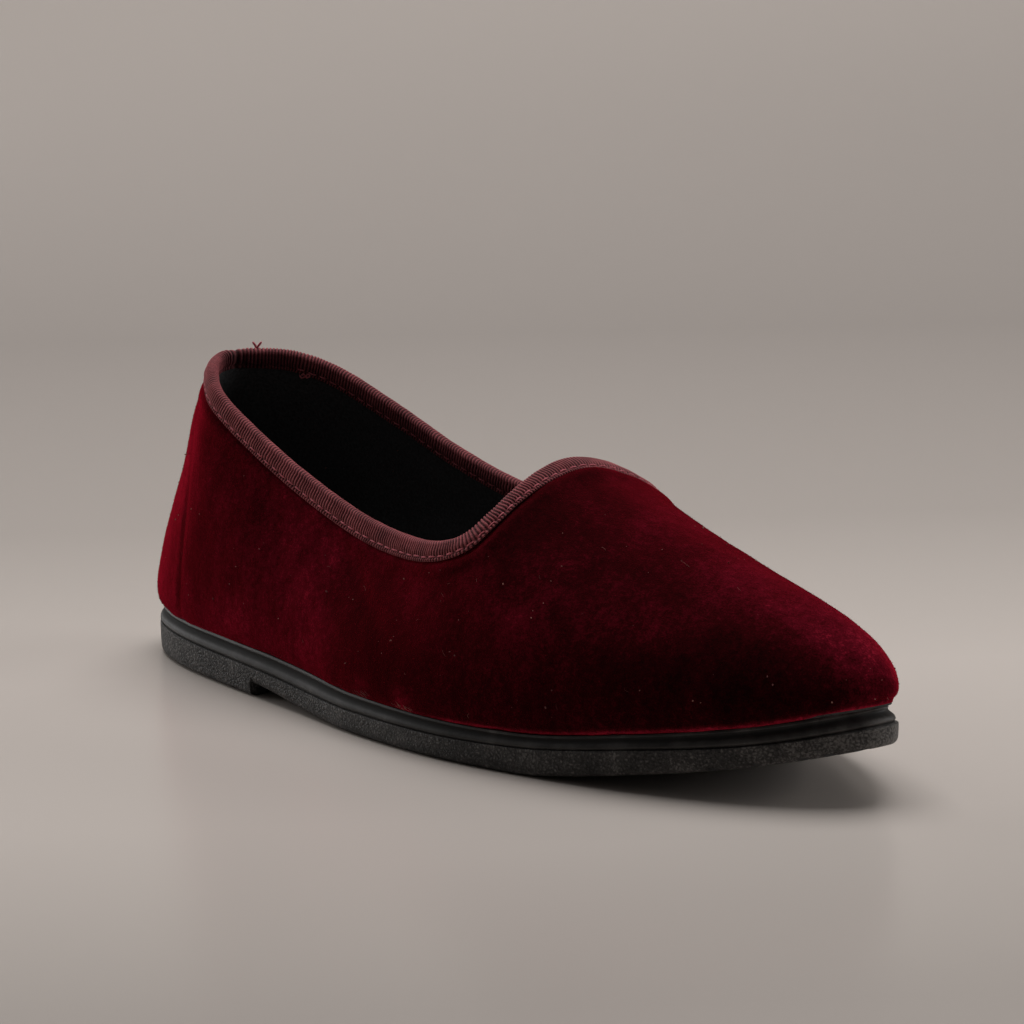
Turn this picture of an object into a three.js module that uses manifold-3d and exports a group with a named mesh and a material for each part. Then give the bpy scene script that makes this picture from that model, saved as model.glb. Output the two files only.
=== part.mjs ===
// Furlane slipper for the right foot: a velvet upper on a moulded rubber sole, a ribbon bound over
// the edge of the collar, and an insole inside.
// Millimetres, +X from heel to toe, +Y towards the inner side of the foot, +Z up. The origin lies on
// the floor under the middle of the slipper's box.
import * as THREE from 'three';
import { mergeVertices } from 'three/addons/utils/BufferGeometryUtils.js';
import Module from 'manifold-3d';

// Driving sizes
const soleLength = 252;
const heelBreast = 66;
const breastStep = 0.2;
const clearance = 0.3;

const wallThickness = 1.8;
const upperInset = 1.2;

const ribbonThickness = 0.8;
const ribbonOutside = 4.9;
const ribbonInside = 5.1;

const insoleThickness = 3.2;
const insoleEdgeRound = 0.8;

const grooveWidth = 1.6;
const grooveDepth = 1.1;
const groovePitch = 9;
const grooveMargin = 4;
const grooveRunsOut = 220;
const forefootGrooves = { first: 150, count: 10 };
const heelGrooves = { first: 14, count: 5 };

// How finely the pieces are faceted
const stationsPerSide = 35;
const ribSteps = 15;

// Outline of the sole: half widths at each place along the foot, from the line between heel and toe
const outlineRows = [
  { x: 0, outer: 0, inner: 0 },
  { x: 5, outer: 11.2, inner: 11.6 },
  { x: 12, outer: 17.3, inner: 17.8 },
  { x: 30, outer: 25.5, inner: 26 },
  { x: 55, outer: 31.8, inner: 29.4 },
  { x: 85, outer: 37.6, inner: 29.8 },
  { x: 115, outer: 43.9, inner: 32 },
  { x: 145, outer: 46.5, inner: 36.4 },
  { x: 172, outer: 44, inner: 38.2 },
  { x: 198, outer: 38.4, inner: 34 },
  { x: 220, outer: 30.2, inner: 25.4 },
  { x: 238, outer: 20, inner: 15.2 },
  { x: 248, outer: 10.4, inner: 7.2 },
  { x: 252, outer: 0, inner: 0 },
];

// Heights along the foot: the sole's underside, apart from the heel lift, the seat of the upper, and
// how high the smooth band under the seat is, as a share of its height in the rows of the side
const heightRows = [
  { x: 0, under: 3.3, seat: 11.9, band: 0.84 },
  { x: 66, under: 3.2, seat: 11.9, band: 1 },
  { x: 92, under: 1, seat: 10.9, band: 1.04 },
  { x: 114, under: 0, seat: 9.7, band: 0.9 },
  { x: 172, under: 0, seat: 9.8, band: 0.7 },
  { x: 205, under: 4.2, seat: 13.8, band: 0.76 },
  { x: 230, under: 8.4, seat: 17.7, band: 0.88 },
  { x: 252, under: 13.2, seat: 22.3, band: 0.86 },
];

// Side of the sole from the floor up: wall with a rounded foot, groove, bead, cove and lip. The
// lower rows are measured up from the underside, the upper rows down from the seat of the upper.
const soleWallRows = [
  { out: -1.7, up: 0 },
  { out: -0.6, up: 0.35 },
  { out: -0.1, up: 1.3 },
  { out: 0, down: 6.4 },
  { out: 0, down: 4.9 },
  { out: -0.35, down: 4.45 },
  { out: -1.1, down: 4.2 },
  { out: -0.4, down: 3.85 },
  { out: 0.1, down: 2.9 },
  { out: -0.1, down: 1.8 },
  { out: -0.8, down: 1.25 },
  { out: -0.8, down: 0.8 },
  { out: -0.3, down: 0.5 },
  { out: -0.6, down: 0 },
];

// Ribs of the upper. Each starts on the sole at x and ends on the collar at topX and topZ, with the
// collar's half width on the outer or inner side. It leaves the sole with a belly outwards and a
// rise, and comes to the collar from a point that lies outwards by its reach and below by its drop.
const ribRows = [
  { x: 0, topX: 19.8, outer: 0, inner: 0, topZ: 78.8, belly: 5.4, rise: 5, reach: 7.5, drop: 25 },
  { x: 8, topX: 22.8, outer: 7.8, inner: 7.6, topZ: 78.8, belly: 5.2, rise: 5, reach: 7.2, drop: 25 },
  { x: 20, topX: 29.6, outer: 14.8, inner: 14.6, topZ: 78, belly: 4.4, rise: 6, reach: 6.6, drop: 24 },
  { x: 36, topX: 40, outer: 21, inner: 20.8, topZ: 74.2, belly: 3.6, rise: 11, reach: 5.4, drop: 21 },
  { x: 60, topX: 60, outer: 24.4, inner: 24, topZ: 66, belly: 3.4, rise: 17, reach: 4.5, drop: 18 },
  { x: 85, topX: 80, outer: 25.5, inner: 24.8, topZ: 58.4, belly: 2.8, rise: 16, reach: 4, drop: 16 },
  { x: 110, topX: 101, outer: 27.2, inner: 26.2, topZ: 52.2, belly: 3, rise: 15, reach: 4.5, drop: 14 },
  { x: 132, topX: 119, outer: 30, inner: 28.6, topZ: 49.7, belly: 3.2, rise: 15, reach: 6, drop: 12 },
  { x: 152, topX: 133, outer: 32.6, inner: 31, topZ: 49.6, belly: 3.6, rise: 15, reach: 9, drop: 10 },
  { x: 172, topX: 142.4, outer: 32.4, inner: 30.6, topZ: 52, belly: 4, rise: 15.5, reach: 14, drop: 10 },
  { x: 192, topX: 146.2, outer: 28, inner: 26, topZ: 56.9, belly: 4.4, rise: 16, reach: 22, drop: 11.4 },
  { x: 212, topX: 146.4, outer: 20.6, inner: 19, topZ: 61.3, belly: 4.8, rise: 16.5, reach: 31, drop: 14.8 },
  { x: 232, topX: 145.8, outer: 12.3, inner: 11.3, topZ: 64.7, belly: 6, rise: 17.5, reach: 43, drop: 18.6 },
  { x: 246, topX: 145.2, outer: 5.1, inner: 4.7, topZ: 66.4, belly: 6.6, rise: 18, reach: 49, drop: 20.6 },
  { x: 252, topX: 145, outer: 0, inner: 0, topZ: 66.8, belly: 6.8, rise: 18, reach: 51, drop: 21 },
];

// How much lower the collar lies on the outer side than on the inner side, at the ribs from x
const sagRows = [
  { x: 0, sag: 0 },
  { x: 8, sag: 0.7 },
  { x: 20, sag: 1.4 },
  { x: 36, sag: 1.7 },
  { x: 60, sag: 1.6 },
  { x: 85, sag: 2.1 },
  { x: 110, sag: 2 },
  { x: 132, sag: 1.4 },
  { x: 152, sag: 0.6 },
  { x: 172, sag: 0 },
  { x: 192, sag: 0 },
  { x: 252, sag: 0 },
];

// A place along the foot as a turn from 0 at the heel to half a circle at the toe, so that widths
// close in a round at both ends
function turnAt(x) {
  return Math.acos(1 - 2 * x / soleLength);
}

function placeAt(turn) {
  return soleLength / 2 * (1 - Math.cos(turn));
}

// Smooth curve through knots of { at, value }
function smooth(knots, at) {
  const last = knots.length - 2;
  let k = 1;
  while (k < last - 1 && at > knots[k + 1].at) {
    k += 1;
  }
  const slope = (j) => (knots[j + 1].value - knots[j - 1].value) / (knots[j + 1].at - knots[j - 1].at);
  const span = knots[k + 1].at - knots[k].at;
  const t = (at - knots[k].at) / span;
  const start = (1 + 2 * t) * (1 - t) ** 2 * knots[k].value + t * (1 - t) ** 2 * span * slope(k);
  const end = t * t * (3 - 2 * t) * knots[k + 1].value + t * t * (t - 1) * span * slope(k + 1);
  return start + end;
}

// Column of a table round the foot. The rows are mirrored past heel and toe, and a column that
// crosses to the other side there changes its sign.
function aroundFoot(rows, column, turn, crosses = false) {
  const sign = crosses ? -1 : 1;
  const knots = rows.map((row) => ({ at: turnAt(row.x), value: row[column] }));
  const second = knots[1];
  const secondLast = knots[knots.length - 2];
  knots.unshift({ at: -second.at, value: sign * second.value });
  knots.push({ at: 2 * Math.PI - secondLast.at, value: sign * secondLast.value });
  return smooth(knots, turn);
}

// Column of the table of heights, which runs straight on past both ends
function alongFoot(column, x) {
  const knots = heightRows.map((row) => ({ at: row.x, value: row[column] }));
  const [first, second] = knots;
  const [secondLast, last] = knots.slice(-2);
  knots.unshift({ at: 2 * first.at - second.at, value: 2 * first.value - second.value });
  knots.push({ at: 2 * last.at - secondLast.at, value: 2 * last.value - secondLast.value });
  return smooth(knots, THREE.MathUtils.clamp(x, 0, soleLength));
}

// Underside of the sole: flat under the forefoot, with the heel lift down to the floor
function undersideAt(x) {
  if (x < heelBreast) {
    return 0;
  }
  const flat = heightRows.filter((row) => row.under === 0).map((row) => row.x);
  if (x >= flat[0] && x <= flat[1]) {
    return 0;
  }
  return Math.max(0, alongFoot('under', x));
}

function seatAt(x) {
  return alongFoot('seat', x);
}

// Stations round the foot: heel, outer side, toe, inner side
function makeStations() {
  const turns = [turnAt(heelBreast - breastStep), turnAt(heelBreast + breastStep)];
  for (let k = 0; k <= stationsPerSide; k += 1) {
    const turn = Math.PI * k / stationsPerSide;
    const nearBreast = Math.abs(placeAt(turn) - heelBreast) < 3;
    if (!nearBreast) {
      turns.push(turn);
    }
  }
  turns.sort((a, b) => a - b);
  const outerSide = turns.map((turn) => ({ turn, side: -1, column: 'outer' }));
  const innerSide = turns.slice(1, -1).reverse().map((turn) => ({ turn, side: 1, column: 'inner' }));
  const stations = [...outerSide, ...innerSide];
  for (const station of stations) {
    station.x = placeAt(station.turn);
    station.y = station.side * aroundFoot(outlineRows, station.column, station.turn, true);
  }
  stations.forEach((station, i) => {
    const before = stations.at(i - 1);
    const after = stations[(i + 1) % stations.length];
    station.normal = new THREE.Vector2(after.y - before.y, before.x - after.x).normalize();
  });
  return stations;
}

const stations = makeStations();
const stationCount = stations.length;
const toeStation = stationCount / 2;

// Point beside the outline of the sole, inwards for a negative distance
function beside(station, out, z = 0) {
  return new THREE.Vector3(station.x + station.normal.x * out, station.y + station.normal.y * out, z);
}

// Control points of the rib of the upper at each station, from the sole to the collar
function makeRib(station) {
  const read = (column, crosses) => aroundFoot(ribRows, column, station.turn, crosses);
  const foot = beside(station, -upperInset);
  foot.z = seatAt(foot.x) + clearance;
  const half = read(station.column, true);
  const sag = station.side < 0 ? aroundFoot(sagRows, 'sag', station.turn) : 0;
  const collar = new THREE.Vector3(read('topX'), station.side * half, read('topZ') - sag);
  const outward = new THREE.Vector3(foot.x - collar.x, foot.y - collar.y, 0).normalize();
  const approach = outward.clone().multiplyScalar(read('reach'));
  approach.z = -read('drop');
  const upAlongRib = approach.clone().normalize().negate();
  const edge = collar.clone().addScaledVector(upAlongRib, -(ribbonThickness + clearance));
  const belly = beside(station, read('belly') - upperInset, foot.z + read('rise'));
  return { foot, belly, shoulder: edge.clone().add(approach), edge, upAlongRib };
}

const ribs = stations.map(makeRib);

// Outside of the upper at station i, from the sole (v = 0) to the collar (v = 1)
function outside(i, v) {
  const rib = ribs[(i + stationCount) % stationCount];
  const w = 1 - v;
  return new THREE.Vector3()
    .addScaledVector(rib.foot, w ** 3)
    .addScaledVector(rib.belly, 3 * v * w ** 2)
    .addScaledVector(rib.shoulder, 3 * v ** 2 * w)
    .addScaledVector(rib.edge, v ** 3);
}

// Direction out of the upper's surface
function outwardAt(i, v) {
  const small = 0.01;
  const round = outside(i + 1, v).sub(outside(i - 1, v));
  const upwards = outside(i, Math.min(1, v + small)).sub(outside(i, Math.max(0, v - small)));
  return round.cross(upwards).normalize();
}

// Point of the wall, depth millimetres in from its outside. Along the sole the wall stands upright.
function inWall(i, v, depth) {
  if (v > 0) {
    return outside(i, v).addScaledVector(outwardAt(i, v), -depth);
  }
  const point = beside(stations[i], -upperInset - depth);
  point.z = seatAt(point.x) + clearance;
  return point;
}

// Place on a rib that lies a given length below the collar's edge
function belowEdge(i, length) {
  const fine = 200;
  let v = 1;
  let walked = 0;
  let previous = outside(i, v);
  while (walked < length) {
    v -= 1 / fine;
    const point = outside(i, v);
    walked += point.distanceTo(previous);
    previous = point;
  }
  return v;
}

function meshGeometry(points, faces) {
  const geometry = new THREE.BufferGeometry();
  const positions = points.flatMap((point) => [point.x, point.y, point.z]);
  geometry.setAttribute('position', new THREE.Float32BufferAttribute(positions, 3));
  geometry.setIndex(faces.flat());
  geometry.computeVertexNormals();
  return geometry;
}

// Closed ring from one closed section at each station
function ringGeometry(sections) {
  const size = sections[0].length;
  const faces = [];
  sections.forEach((section, i) => {
    const here = i * size;
    const next = ((i + 1) % sections.length) * size;
    section.forEach((point, j) => {
      const over = (j + 1) % size;
      faces.push([here + j, next + j, next + over]);
      faces.push([here + j, next + over, here + over]);
    });
  });
  return meshGeometry(sections.flat(), faces);
}

// Solid from loops round the foot, lowest first, closed by strips from side to side
function stackGeometry(loops) {
  const faces = [];
  for (let k = 0; k + 1 < loops.length; k += 1) {
    for (let i = 0; i < stationCount; i += 1) {
      const next = (i + 1) % stationCount;
      const low = k * stationCount;
      const high = low + stationCount;
      faces.push([low + i, low + next, high + next]);
      faces.push([low + i, high + next, high + i]);
    }
  }
  const topLoop = (loops.length - 1) * stationCount;
  for (let i = 0; i < toeStation; i += 1) {
    const across = (stationCount - i) % stationCount;
    const acrossNext = stationCount - i - 1;
    if (i > 0) {
      faces.push([topLoop + i, topLoop + acrossNext, topLoop + across]);
      faces.push([i, across, acrossNext]);
    }
    if (i + 1 < toeStation) {
      faces.push([topLoop + i, topLoop + i + 1, topLoop + acrossNext]);
      faces.push([i, acrossNext, i + 1]);
    }
  }
  return meshGeometry(loops.flat(), faces);
}

const wasm = await Module();
wasm.setup();

function toSolid(geometry) {
  const bare = geometry.clone();
  bare.deleteAttribute('normal');
  bare.deleteAttribute('uv');
  const merged = mergeVertices(bare);
  const vertProperties = new Float32Array(merged.attributes.position.array);
  const triVerts = new Uint32Array(merged.index.array);
  return new wasm.Manifold(new wasm.Mesh({ numProp: 3, vertProperties, triVerts }));
}

function fromSolid(solid) {
  const { vertProperties, triVerts } = solid.getMesh();
  const geometry = new THREE.BufferGeometry();
  geometry.setAttribute('position', new THREE.Float32BufferAttribute(vertProperties, 3));
  geometry.setIndex(Array.from(triVerts));
  geometry.computeVertexNormals();
  return geometry;
}

// Straight groove across the underside. It stops short of the sole's edge, and near the toe it runs
// out through the side wall.
function treadGroove(x) {
  const margin = x < grooveRunsOut ? grooveMargin : -grooveMargin;
  const outer = aroundFoot(outlineRows, 'outer', turnAt(x), true) - margin;
  const inner = aroundFoot(outlineRows, 'inner', turnAt(x), true) - margin;
  const groove = new THREE.BoxGeometry(grooveWidth, outer + inner, 2 * grooveDepth);
  groove.translate(x, (inner - outer) / 2, undersideAt(x));
  return toSolid(groove);
}

function makeSole() {
  const loops = soleWallRows.map((row) => stations.map((station) => {
    const point = beside(station, row.out);
    point.z = row.up === undefined
      ? seatAt(station.x) - row.down * alongFoot('band', station.x)
      : undersideAt(station.x) + row.up;
    return point;
  }));
  let solid = toSolid(stackGeometry(loops));
  for (const { first, count } of [forefootGrooves, heelGrooves]) {
    for (let k = 0; k < count; k += 1) {
      solid = solid.subtract(treadGroove(first + k * groovePitch));
    }
  }
  return fromSolid(solid);
}

function makeUpper() {
  const sections = stations.map((station, i) => {
    const section = [];
    for (let k = 0; k <= ribSteps; k += 1) {
      section.push(inWall(i, k / ribSteps, 0));
    }
    for (let k = ribSteps; k >= 0; k -= 1) {
      section.push(inWall(i, k / ribSteps, wallThickness));
    }
    return section;
  });
  return ringGeometry(sections);
}

// Ribbon folded over the collar's edge: an outer and an inner leaf with a rounded fold between them
function makeBinding() {
  const outerFace = -(clearance + ribbonThickness);
  const innerFace = wallThickness + clearance + ribbonThickness;
  const foldRound = 0.5;
  const sections = stations.map((station, i) => {
    const up = ribs[i].upAlongRib;
    const low = belowEdge(i, ribbonOutside);
    const middle = belowEdge(i, ribbonOutside / 2);
    const lowInside = belowEdge(i, ribbonInside);
    const middleInside = belowEdge(i, ribbonInside / 2);
    const over = (depth, height) => inWall(i, 1, depth).addScaledVector(up, height);
    const full = clearance + ribbonThickness;
    return [
      inWall(i, low, outerFace),
      inWall(i, middle, outerFace),
      over(outerFace, 0),
      over(outerFace + foldRound / 2, full - foldRound),
      over(wallThickness / 2, full),
      over(innerFace - foldRound / 2, full - foldRound),
      over(innerFace, 0),
      inWall(i, middleInside, innerFace),
      inWall(i, lowInside, innerFace),
      inWall(i, lowInside, wallThickness + clearance),
      inWall(i, middleInside, wallThickness + clearance),
      over(wallThickness + clearance, clearance),
      over(-clearance, clearance),
      inWall(i, middle, -clearance),
      inWall(i, low, -clearance),
    ];
  });
  return ringGeometry(sections);
}

function makeInsole() {
  const edge = -(upperInset + wallThickness + 2 * clearance);
  const rows = [
    { out: edge, up: clearance },
    { out: edge, up: clearance + insoleThickness - insoleEdgeRound },
    { out: edge - insoleEdgeRound, up: clearance + insoleThickness },
  ];
  const loops = rows.map((row) => stations.map((station) => {
    const point = beside(station, row.out);
    point.z = seatAt(point.x) + row.up;
    return point;
  }));
  return stackGeometry(loops);
}

function makePiece(name, geometry, color, roughness) {
  const material = new THREE.MeshStandardMaterial({ color, roughness, metalness: 0 });
  const piece = new THREE.Mesh(geometry, material);
  piece.name = name;
  return piece;
}

const slipper = new THREE.Group();
slipper.add(makePiece('sole', makeSole(), 0x1b1a1a, 0.6));
slipper.add(makePiece('upper', makeUpper(), 0x3c0710, 0.95));
slipper.add(makePiece('binding', makeBinding(), 0x5a2e30, 0.8));
slipper.add(makePiece('insole', makeInsole(), 0x0b0a0a, 0.9));

// The middle of the slipper's box stands over the origin
const middle = new THREE.Box3().setFromObject(slipper).getCenter(new THREE.Vector3());
slipper.position.set(-middle.x, -middle.y, 0);

const part = new THREE.Group();
part.add(slipper);
part.updateMatrixWorld(true);

export default part;
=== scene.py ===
import itertools
import math

import bmesh
import bpy
import numpy as np
from mathutils import Matrix, Vector


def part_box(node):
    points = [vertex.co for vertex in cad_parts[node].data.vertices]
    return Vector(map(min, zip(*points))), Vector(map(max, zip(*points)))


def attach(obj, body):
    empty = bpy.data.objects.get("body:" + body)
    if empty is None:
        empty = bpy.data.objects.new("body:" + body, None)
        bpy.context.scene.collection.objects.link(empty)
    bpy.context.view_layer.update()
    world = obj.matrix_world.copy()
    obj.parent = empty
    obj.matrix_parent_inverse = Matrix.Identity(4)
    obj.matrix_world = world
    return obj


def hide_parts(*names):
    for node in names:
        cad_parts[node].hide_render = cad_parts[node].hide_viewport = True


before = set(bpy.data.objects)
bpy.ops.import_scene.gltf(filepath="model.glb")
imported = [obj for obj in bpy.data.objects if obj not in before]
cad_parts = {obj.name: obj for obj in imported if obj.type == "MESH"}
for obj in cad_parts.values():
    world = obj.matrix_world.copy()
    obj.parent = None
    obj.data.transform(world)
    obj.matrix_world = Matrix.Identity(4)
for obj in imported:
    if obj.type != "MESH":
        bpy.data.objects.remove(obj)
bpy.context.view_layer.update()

# Lengths below are in millimetres in the slipper's own axes: x from the heel's back to the toe, y
# from the line between heel and toe towards the inner side of the foot, z up from the floor.
MM = 0.001
SEED = 1927

# Sizes that the surfaces share with the solids
SOLE_LENGTH = 252.0
HEEL_BREAST = 66.0
BREAST_STEP = 0.2
CLEARANCE = 0.3
WALL = 1.8
UPPER_INSET = 1.2
RIBBON_THICKNESS = 0.8
RIBBON_OUTSIDE = 4.9
RIBBON_INSIDE = 4.5
INSOLE_THICKNESS = 3.2
GROOVE_WIDTH = 1.6
GROOVE_DEPTH = 1.1
GROOVE_PITCH = 9.0
GROOVE_MARGIN = 4.0
GROOVE_RUNS_OUT = 220.0
GROOVE_RUNS = ((150.0, 10), (14.0, 5))
TOE_NOTCHES = (240.0, 244.5, 248.5)

# Look of the cloth and the ribbon
VELVET_DEPTH = 1.1
RIB_PITCH = 0.92
RIB_HEIGHT = 0.4
STITCH_PITCH = 3.2
STITCH_LENGTH = 2.6
STITCH_RADIUS = 0.2
STITCH_ABOVE_EDGE = 1.4
HEEL_LINE = 30.5
# Painted shade in the heel line's groove and painted light on the ridge behind it
HEEL_LINE_PAINTED_SHADE = 0.8
# Painted sheen along the forefoot's velvet where it turns in at the sole
EDGE_PAINTED_SHEEN = 1.1
NAP_AND_PAINTED_LIGHT_STRENGTH = 0.42
TOE_TUCK = 2.1
PILE_COUNT = 180000
PILE_WIDTH = 0.09
PILE_LENGTH = (0.15, 0.36)
PILE_LEAN = (-0.35, 0, -0.45)
PILE_LEAN_SPREAD = 0.4
PILE_UPRIGHT = 0.55
# How much lighter the pile is painted than the velvet below it: painted light where the fibres catch it
PILE_PAINTED_LIGHT = 0.05
PILE_TONE_SPREAD = 0.24
FRINGE_COUNT = 5200
FRINGE_LENGTH = (0.35, 0.95)
HAIR_COUNT = 40
HAIR_RADIUS = (0.02, 0.036)
SPECK_SIZE = (0.06, 0.23)
YARN_LENGTH = (0.7, 2.3)
YARN_RADIUS = (0.016, 0.03)
# Specks of lint: depth into the wall, lowest share of the way up a rib, and number
SPECKS = ((-0.3, 0.05, 170), (WALL + 0.12, 0.3, 60))
# Frayed tufts at the sole: way round the foot, and number of thread ends
TUFTS = ((1.518, 22), (1.649, 28), (0.62, 8))
# Lengths along the collar from the middle of the heel, positive on the outer side: where the inside of
# the ribbon shows at the back, how far from there its stitches are sunk, and two loose threads
RIBBON_BACK = -4.0
STITCHES_SUNK = 16.0
FORKED_END = -8.0
TANGLE = -21.5

# Studio: where the camera stands, which point of the slipper it looks at, and where that point lies in
# the picture
CAMERA_AZIMUTH = 46.15
CAMERA_ELEVATION = 11.62
CAMERA_DISTANCE = 1.2948
CAMERA_FOCUS_PIXELS = 5262.0
PICTURE_PIXELS = 1024.0
AIM_PIXEL = (513.1, 575.6)
AIM_POINT = (126.0, 0.0, 35.0)
SENSOR = 36.0
SHEET_COLOUR = (0.62, 0.555, 0.51)
SHEET_SKEW = 8.0
# Distance of the sheet behind the slipper in metres, and how light it is painted there: painted light
# and shade
SHEET_PAINTED_LIGHT = ((-0.25, 0.75), (-0.1, 1.0), (0.05, 1.05), (0.25, 0.7),
                (0.6, 0.5), (1.2, 0.65), (2.5, 1.0))


def table(columns, *rows):
    """Columns of a table by name, as arrays."""
    return dict(zip(columns, np.array(rows, float).T))


# Edge of the sole: half widths to both sides of the line between heel and toe
OUTLINE = table(
    ("x", "outer", "inner"),
    (0, 0, 0),
    (5, 11.2, 11.6),
    (12, 17.3, 17.8),
    (30, 25.5, 26),
    (55, 31.8, 29.4),
    (85, 37.6, 29.8),
    (115, 43.9, 32),
    (145, 46.5, 36.4),
    (172, 44, 38.2),
    (198, 38.4, 34),
    (220, 30.2, 25.4),
    (238, 20, 15.2),
    (248, 10.4, 7.2),
    (252, 0, 0),
)
# Underside of the sole without the heel lift, its seat, and how high the band below the seat is
HEIGHTS = table(
    ("x", "under", "seat", "band"),
    (0, 3.3, 11.9, 0.84),
    (66, 3.2, 11.9, 1),
    (92, 1, 10.9, 1.04),
    (114, 0, 9.7, 0.9),
    (172, 0, 9.8, 0.7),
    (205, 4.2, 13.8, 0.76),
    (230, 8.4, 17.7, 0.88),
    (252, 13.2, 22.3, 0.86),
)
# Ribs of the upper from places along the sole: where they end at the collar, how far they bulge and
# how high, from where they come up to the collar, and how much lower it lies on the outer side
RIBS = table(
    ("x", "topX", "outer", "inner", "topZ", "belly", "rise", "reach", "drop", "sag"),
    (0, 19.8, 0, 0, 78.8, 5.4, 5, 7.5, 25, 0),
    (8, 22.8, 7.8, 7.6, 78.8, 5.2, 5, 7.2, 25, 0.7),
    (20, 29.6, 14.8, 14.6, 78, 4.4, 6, 6.6, 24, 1.4),
    (36, 40, 21, 20.8, 74.2, 3.6, 11, 5.4, 21, 1.7),
    (60, 60, 24.4, 24, 66, 3.4, 17, 4.5, 18, 1.6),
    (85, 80, 25.5, 24.8, 58.4, 2.8, 16, 4, 16, 2.1),
    (110, 101, 27.2, 26.2, 52.2, 3, 15, 4.5, 14, 2),
    (132, 119, 30, 28.6, 49.7, 3.2, 15, 6, 12, 1.4),
    (152, 133, 32.6, 31, 49.6, 3.6, 15, 9, 10, 0.6),
    (172, 142.4, 32.4, 30.6, 52, 4, 15.5, 14, 10, 0),
    (192, 146.2, 28, 26, 56.9, 4.4, 16, 22, 11.4, 0),
    (212, 146.4, 20.6, 19, 61.3, 4.8, 16.5, 31, 14.8, 0),
    (232, 145.8, 12.3, 11.3, 64.7, 6, 17.5, 43, 18.6, 0),
    (246, 145.2, 5.1, 4.7, 66.4, 6.6, 18, 49, 20.6, 0),
    (252, 145, 0, 0, 66.8, 6.8, 18, 51, 21, 0),
)
# Side of the sole: distance out from the outline, how much further in it lies at the toe and round the
# heel, height above the underside or below the seat, and how much of the wall's grain the row carries,
# where a negative number stands for painted shade in the cove under the velvet
SOLE_WALL = table(
    ("out", "toe", "heel", "up", "down", "grain"),
    (-2.2, 1, 0.6, 0, None, 0.6),
    (-0.8, 0.9, 0.3, 0.4, None, 1),
    (-0.15, 0.7, 0.1, 1.5, None, 1),
    (0, 0.7, 0, None, 6.4, 1),
    (0, 0.7, 0, None, 4.75, 1),
    (-0.15, 0.8, 0, None, 4.45, 0.6),
    (-0.45, 1.7, 0, None, 4.2, 0),
    (-0.2, 1.6, 0, None, 3.95, 0),
    (0, 1.5, 0, None, 3.4, 0),
    (-0.25, 1.7, 0, None, 2.5, -0.2),
    (-0.75, 2.1, 0.1, None, 1.8, -0.8),
    (-1.05, 2.4, 0.3, None, 1.2, -1),
    (-0.95, 2.6, 0.3, None, 0.65, -0.8),
    (-0.75, 2.7, 0.3, None, 0.35, 0),
    (-0.95, 2.9, 0.4, None, -0.25, 0),
)

# Places where the velvet's tone changes: patches where the pile lies the other way, painted sheen on
# the
# heel's edge and the toe's tip, and painted shade over the top of the vamp and its low front. Columns:
# along the foot, share of the way up a rib, spread in both, side of the foot and how much lighter or
# darker the velvet is painted there
NAP_AND_PAINTED_LIGHT = table(
    ("x", "up", "spread", "spread_up", "side", "tone"),
    (10, 0.2, 13, 0.5, -1, 0.75),
    (58, 0.08, 13, 0.13, -1, 1.3),
    (62, 0.5, 10, 0.3, -1, 0.35),
    (76, 0.6, 8, 0.2, -1, 0.55),
    (84, 0.82, 20, 0.13, -1, 0.55),
    (92, 0.04, 14, 0.07, -1, 0.45),
    (101, 0.74, 9, 0.12, -1, 0.55),
    (92, 0.34, 8, 0.2, -1, 0.65),
    (121, 0.45, 8, 0.2, -1, -0.6),
    (118, 0.06, 3.5, 0.06, -1, 1.1),
    (131, 0.26, 13, 0.2, -1, -0.6),
    (134, 0.05, 3.5, 0.06, -1, 1.3),
    (167, 0.68, 9, 0.1, -1, 0.55),
    (178, 0.45, 10, 0.2, -1, 0.35),
    (198, 0.22, 22, 0.2, -1, -0.4),
    (222, 0.9, 22, 0.09, -1, -0.5),
    (216, 0.5, 14, 0.13, -1, 0.6),
    (232, 0.25, 14, 0.16, -1, -0.6),
    (251.5, 0.96, 5, 0.09, -1, -0.9),
    (251.5, 0.2, 4, 0.3, -1, 1.1),
    (251, 0.2, 6, 0.3, 1, 1),
    (251.5, 0.96, 5, 0.09, 1, -0.9),
    (30, 0.3, 10, 0.4, 1, 0.5),
    (58, 0.5, 10, 0.35, 1, -0.5),
    (84, 0.15, 16, 0.15, 1, 0.7),
    (118, 0.6, 14, 0.2, 1, -0.45),
    (150, 0.3, 16, 0.25, 1, 0.5),
    (200, 0.3, 24, 0.25, 1, -0.5),
)
# Soft creases of the velvet: where they start and end along the foot and up the rib, their half
# width, and how deep they are
CREASES = table(
    ("x", "up", "end_x", "end_up", "side", "width", "depth"),
    (96, 0.95, 128, 0.35, -1, 5, 0.45),
    (150, 0.8, 172, 0.3, -1, 7, 0.4),
    (70, 0.85, 84, 0.3, -1, 6, 0.35),
    (100, 0.9, 128, 0.35, 1, 5, 0.5),
    (152, 0.8, 178, 0.3, 1, 7, 0.4),
    (66, 0.85, 78, 0.3, 1, 6, 0.4),
)


# Curves of the foot

def smooth(at_knots, values, at):
    """Smooth curve through values at knots that go one past both ends."""
    k = np.clip(np.searchsorted(at_knots, at, side="right") - 1, 1, len(at_knots) - 3)
    slopes = (values[2:] - values[:-2]) / (at_knots[2:] - at_knots[:-2])
    span = at_knots[k + 1] - at_knots[k]
    t = (at - at_knots[k]) / span
    start = (1 + 2 * t) * (1 - t) ** 2 * values[k] + t * (1 - t) ** 2 * span * slopes[k - 1]
    end = t * t * (3 - 2 * t) * values[k + 1] + t * t * (t - 1) * span * slopes[k]
    return start + end


def extended(values):
    """Values with one more past both ends, in line with the last two there."""
    return np.concatenate([[2 * values[0] - values[1]], values, [2 * values[-1] - values[-2]]])


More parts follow.
